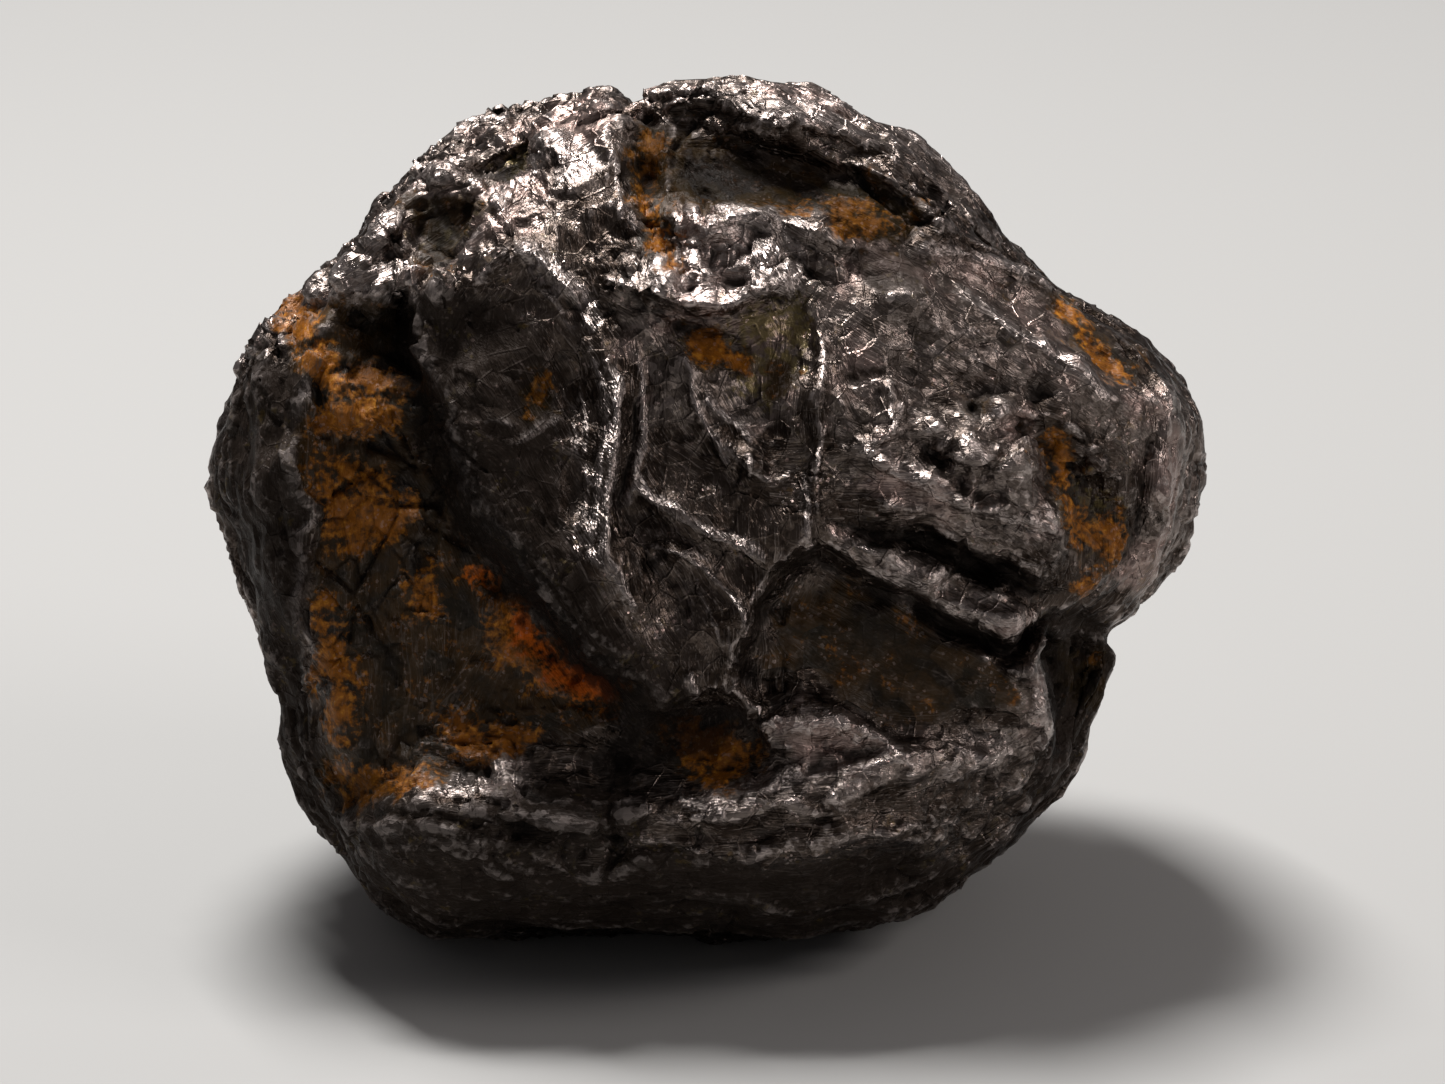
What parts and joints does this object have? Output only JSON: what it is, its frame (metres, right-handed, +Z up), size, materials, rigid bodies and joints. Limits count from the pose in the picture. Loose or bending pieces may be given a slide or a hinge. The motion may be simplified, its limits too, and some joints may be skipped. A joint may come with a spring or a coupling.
{
  "type": "molybdenite crystal",
  "caption": "Rounded lump of foliated, lead-grey metallic molybdenite with a folded cleavage face, rusty hollows and a flat rest underneath.",
  "frame": {"origin": "on the ground, under the centre of the lump's bounding box", "axes": "+Z up, +X to the right seen from the broad cleavage face, which looks towards -Y and leans back"},
  "size_m": [0.0302, 0.0228, 0.0256],
  "materials": {
    "molybdenite": "metallic lead-grey, bluish to purplish, with a greasy glitter and rust-brown stains in the hollows"
  },
  "bodies": {
    "root": {"molybdenite": "molybdenite"}
  },
  "joints": []
}
